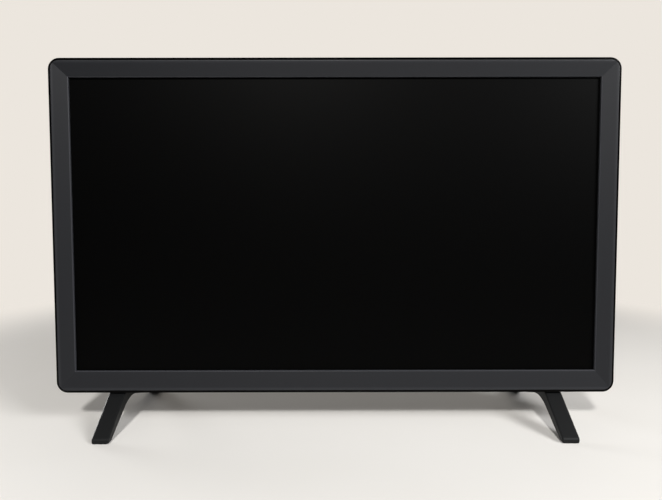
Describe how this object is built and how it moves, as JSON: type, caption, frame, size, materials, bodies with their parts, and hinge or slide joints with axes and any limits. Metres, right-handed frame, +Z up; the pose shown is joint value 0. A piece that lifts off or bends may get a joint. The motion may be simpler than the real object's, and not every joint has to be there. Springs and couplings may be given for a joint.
{
  "type": "flat screen television",
  "caption": "Flat screen television with a sloped dark grey bezel, black screen, humped rear cover with port bay and wall-bracket holes, on two arched blade feet.",
  "frame": {"origin": "on the table under the middle of the television, half way between the feet's toes and heels", "axes": "+X to the viewer's right along the screen's width, -Y out of the screen towards the viewer, +Z up"},
  "size_m": [0.562, 0.156, 0.3695],
  "materials": {
    "bezel_plastic": "dark grey moulded ABS, fine satin grain",
    "cover_plastic": "near-black moulded ABS, spark grain",
    "foot_plastic": "dark grey moulded ABS",
    "screen_film": "black anti-glare polariser film",
    "panel_glass": "bonded glass pair, dark while off",
    "foam": "black foam strip",
    "black_plastic": "black moulded plastic",
    "clear_film": "milky optical film",
    "acrylic": "clear acrylic light guide",
    "white_film": "white reflector film",
    "aluminium": "bare aluminium",
    "led_resin": "phosphor resin",
    "sheet_steel": "zinc-plated sheet steel",
    "board": "green solder mask on glass-fibre laminate",
    "polyimide": "amber polyimide film",
    "black_steel": "blackened steel screw",
    "brass": "machined brass",
    "chip_resin": "black epoxy chip body",
    "capacitor_can": "sleeved aluminium can",
    "plated_steel": "tin-plated shell",
    "port_plastic": "black thermoplastic socket body",
    "ivory_plastic": "ivory connector body",
    "flat_cable": "white flat cable",
    "lead_sleeve": "red PVC sleeve",
    "cone_paper": "black pulp cone",
    "rubber": "black rubber",
    "grey_acetal": "acetal",
    "window_red": "infrared-passing dark red acrylic"
  },
  "bodies": {
    "television": {"front_bezel": "bezel_plastic", "screen_gasket": "foam", "front_polariser": "screen_film", "lcd_cell": "panel_glass", "panel_frame": "black_plastic", "prism_sheet": "clear_film", "diffuser_sheet": "clear_film", "light_guide": "acrylic", "reflector_sheet": "white_film", "led_strip": "aluminium", "led_packages": "led_resin", "backlight_pan": "sheet_steel", "source_board": "board", "driver_films": "polyimide", "cover_pillars": "sheet_steel", "rear_cover": "cover_plastic", "cover_screws": "black_steel", "bracket_inserts": "brass", "board_pillars": "sheet_steel", "main_board": "board", "board_screws": "plated_steel", "board_chips": "chip_resin", "board_capacitors": "capacitor_can", "heat_sink": "aluminium", "tuner_can": "plated_steel", "aerial_socket": "plated_steel", "picture_sockets": "plated_steel", "data_socket": "plated_steel", "network_socket": "plated_steel", "headphone_jack": "port_plastic", "power_inlet": "port_plastic", "card_slot": "plated_steel", "cable_sockets": "ivory_plastic", "panel_cable": "flat_cable", "control_cable": "flat_cable", "speaker_leads": "lead_sleeve", "speaker_box_right": "black_plastic", "speaker_box_left": "black_plastic", "speaker_frame_right": "black_steel", "speaker_frame_left": "black_steel", "speaker_surround_right": "rubber", "speaker_surround_left": "rubber", "speaker_grommets": "rubber", "speaker_screws": "plated_steel", "control_board": "board", "control_screws": "plated_steel", "stick_housing": "black_plastic", "press_switch": "plated_steel", "remote_window": "window_red", "remote_receiver": "chip_resin", "foot_right": "foot_plastic", "foot_left": "foot_plastic", "foot_pads": "rubber", "foot_screws": "black_steel"},
    "stick_ring": {"stick_ring": "grey_acetal"},
    "stick_cradle": {"stick_cradle": "grey_acetal"},
    "button": {"control_button": "cover_plastic"},
    "cone_right": {"speaker_cone_right": "cone_paper"},
    "cone_left": {"speaker_cone_left": "cone_paper"}
  },
  "joints": [
    {"name": "stick_fore_aft", "type": "hinge", "parent": "television", "child": "stick_ring", "pos_m": [0, -0.0202, 0.045], "axis": [1, 0, 0], "range_deg": [-7, 7], "stiffness_Nm_per_rad": 0.08},
    {"name": "stick_left_right", "type": "hinge", "parent": "stick_ring", "child": "stick_cradle", "pos_m": [0, -0.0202, 0.045], "axis": [0, 1, 0], "range_deg": [-7, 7], "stiffness_Nm_per_rad": 0.08},
    {"name": "stick_press", "type": "slide", "parent": "stick_cradle", "child": "button", "axis": [0, 0, 1], "range_m": [0, 0.0006], "stiffness_N_per_m": 2500},
    {"name": "cone_right_travel", "type": "slide", "parent": "television", "child": "cone_right", "axis": [0, 0, 1], "range_m": [-0.0015, 0.0015], "stiffness_N_per_m": 1500, "deforming": ["speaker_surround_right"]},
    {"name": "cone_left_travel", "type": "slide", "parent": "television", "child": "cone_left", "axis": [0, 0, 1], "range_m": [-0.0015, 0.0015], "stiffness_N_per_m": 1500, "deforming": ["speaker_surround_left"]}
  ]
}
